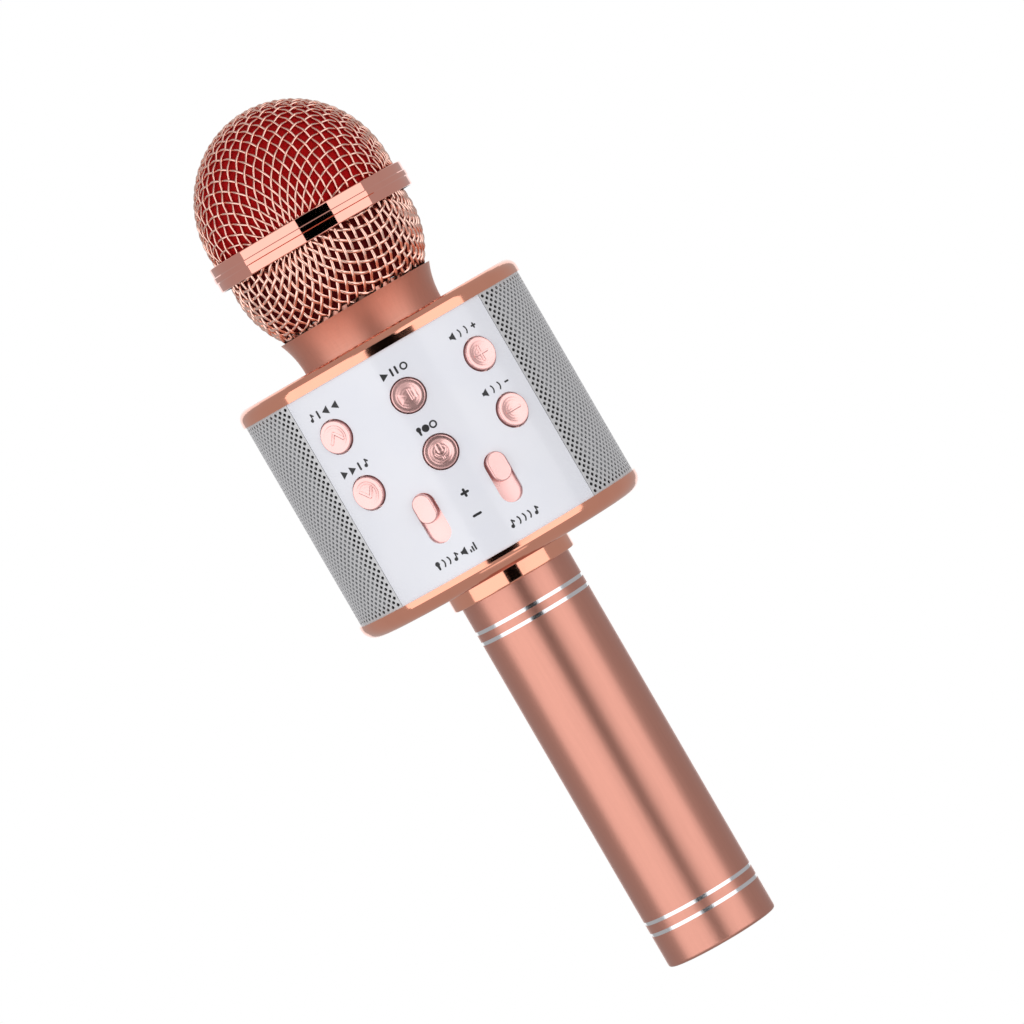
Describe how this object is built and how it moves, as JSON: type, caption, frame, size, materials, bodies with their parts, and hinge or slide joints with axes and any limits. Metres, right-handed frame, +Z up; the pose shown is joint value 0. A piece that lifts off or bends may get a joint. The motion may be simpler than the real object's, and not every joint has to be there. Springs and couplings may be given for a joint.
{
  "type": "karaoke microphone",
  "caption": "Handheld karaoke microphone: woven grille ball on a drum-shaped speaker body with a control panel, on a tubular metal handle.",
  "frame": {"origin": "centre of the handle's flat tail face, on which the microphone stands upright", "axes": "+Z up the handle towards the grille ball, -Y out of the control panel, +X to the right of a person who faces the panel"},
  "size_m": [0.0816, 0.0825, 0.245],
  "materials": {
    "rose_anodised": "satin anodised",
    "copper_plated": "polished metallic plating",
    "grille_wire": "plated wire, woven",
    "pink_plated": "turned metallic",
    "white_panel": "gloss",
    "perforated_sheet": "perforated, satin",
    "black_plastic": "fine matte",
    "bright_red_foam": "open-cell foam",
    "dark_red_foam": "open-cell foam",
    "grey_cloth": "fine woven",
    "black_rubber": "matte",
    "steel": "zinc plated",
    "magnet_iron": "sintered",
    "tin_plate": "stamped",
    "cone_paper": "pressed paper",
    "circuit_board": "solder mask",
    "cell_wrap": "shrink wrap",
    "wire_sheath": "vinyl",
    "lamp_red": "clear tinted"
  },
  "bodies": {
    "drum_and_handle": {"handle_tube": "rose_anodised", "tail_cap": "black_plastic", "handle_collar": "copper_plated", "handle_stub": "black_plastic", "handle_nut": "steel", "battery_cell": "cell_wrap", "battery_sleeve": "black_plastic", "battery_leads": "wire_sheath", "bottom_plate": "copper_plated", "bottom_screws": "steel", "chassis_front": "black_plastic", "chassis_back": "black_plastic", "front_panel": "white_panel", "back_panel": "white_panel", "side_grille_left": "perforated_sheet", "side_grille_right": "perforated_sheet", "dust_cloths": "grey_cloth", "speaker_frames": "steel", "speaker_magnets": "magnet_iron", "speaker_surrounds": "black_rubber", "speaker_leads": "wire_sheath", "main_board": "circuit_board", "key_boards": "circuit_board", "board_screws": "steel", "tact_switches": "black_plastic", "slide_pots": "tin_plate", "port_board": "circuit_board", "usb_socket": "tin_plate", "aux_socket": "black_plastic", "card_socket": "tin_plate", "status_led": "lamp_red", "power_switch_body": "tin_plate", "top_plate": "copper_plated", "neck_collar": "rose_anodised", "neck_screws": "steel", "capsule_cup": "black_plastic", "capsule": "tin_plate", "capsule_ring": "black_rubber", "capsule_leads": "wire_sheath"},
    "gasket": {"head_gasket": "black_rubber"},
    "grille_head": {"head_ferrule": "rose_anodised", "grille_lower": "grille_wire", "grille_ring": "copper_plated", "grille_upper": "grille_wire", "foam_lower": "dark_red_foam", "foam_upper": "bright_red_foam"},
    "left_cone": {"speaker_cone_left": "cone_paper"},
    "right_cone": {"speaker_cone_right": "cone_paper"},
    "previous_key": {"button_previous": "pink_plated"},
    "next_key": {"button_next": "pink_plated"},
    "play_key": {"button_play": "pink_plated"},
    "record_key": {"button_record": "pink_plated"},
    "volume_up_key": {"button_volume_up": "pink_plated"},
    "volume_down_key": {"button_volume_down": "pink_plated"},
    "mic_volume_slider": {"slider_mic_volume": "pink_plated"},
    "echo_slider": {"slider_echo": "pink_plated"},
    "power_slider": {"power_switch_knob": "black_plastic"}
  },
  "joints": [
    {"name": "head_lift", "type": "slide", "parent": "drum_and_handle", "child": "gasket", "axis": [0, 0, 1], "range_m": [0, 0.006]},
    {"name": "head_turn", "type": "hinge", "parent": "gasket", "child": "grille_head", "pos_m": [0, 0, 0.1787], "axis": [0, 0, 1], "range_deg": [0, 1080]},
    {"name": "left_cone_excursion", "type": "slide", "parent": "drum_and_handle", "child": "left_cone", "axis": [-1, 0, 0], "range_m": [-0.0008, 0.0008], "stiffness_N_per_m": 1000},
    {"name": "right_cone_excursion", "type": "slide", "parent": "drum_and_handle", "child": "right_cone", "axis": [1, 0, 0], "range_m": [-0.0008, 0.0008], "stiffness_N_per_m": 1000},
    {"name": "previous_press", "type": "slide", "parent": "drum_and_handle", "child": "previous_key", "axis": [0.518, 0.8554, 0], "range_m": [0, 0.0006], "stiffness_N_per_m": 800, "springref_m": -0.001},
    {"name": "next_press", "type": "slide", "parent": "drum_and_handle", "child": "next_key", "axis": [0.518, 0.8554, 0], "range_m": [0, 0.0006], "stiffness_N_per_m": 800, "springref_m": -0.001},
    {"name": "play_press", "type": "slide", "parent": "drum_and_handle", "child": "play_key", "axis": [0, 1, 0], "range_m": [0, 0.0006], "stiffness_N_per_m": 800, "springref_m": -0.001},
    {"name": "record_press", "type": "slide", "parent": "drum_and_handle", "child": "record_key", "axis": [0, 1, 0], "range_m": [0, 0.0006], "stiffness_N_per_m": 800, "springref_m": -0.001},
    {"name": "volume_up_press", "type": "slide", "parent": "drum_and_handle", "child": "volume_up_key", "axis": [-0.518, 0.8554, 0], "range_m": [0, 0.0006], "stiffness_N_per_m": 800, "springref_m": -0.001},
    {"name": "volume_down_press", "type": "slide", "parent": "drum_and_handle", "child": "volume_down_key", "axis": [-0.518, 0.8554, 0], "range_m": [0, 0.0006], "stiffness_N_per_m": 800, "springref_m": -0.001},
    {"name": "mic_volume_slide", "type": "slide", "parent": "drum_and_handle", "child": "mic_volume_slider", "axis": [0, 0, 1], "range_m": [-0.0057, 0]},
    {"name": "echo_slide", "type": "slide", "parent": "drum_and_handle", "child": "echo_slider", "axis": [0, 0, 1], "range_m": [-0.0057, 0]},
    {"name": "power_slide", "type": "slide", "parent": "drum_and_handle", "child": "power_slider", "axis": [1, 0, 0], "range_m": [0, 0.0026]}
  ],
  "couplings": [
    {"joint": "head_lift", "follows": "head_turn", "m_per_rad": 0.0003183}
  ]
}
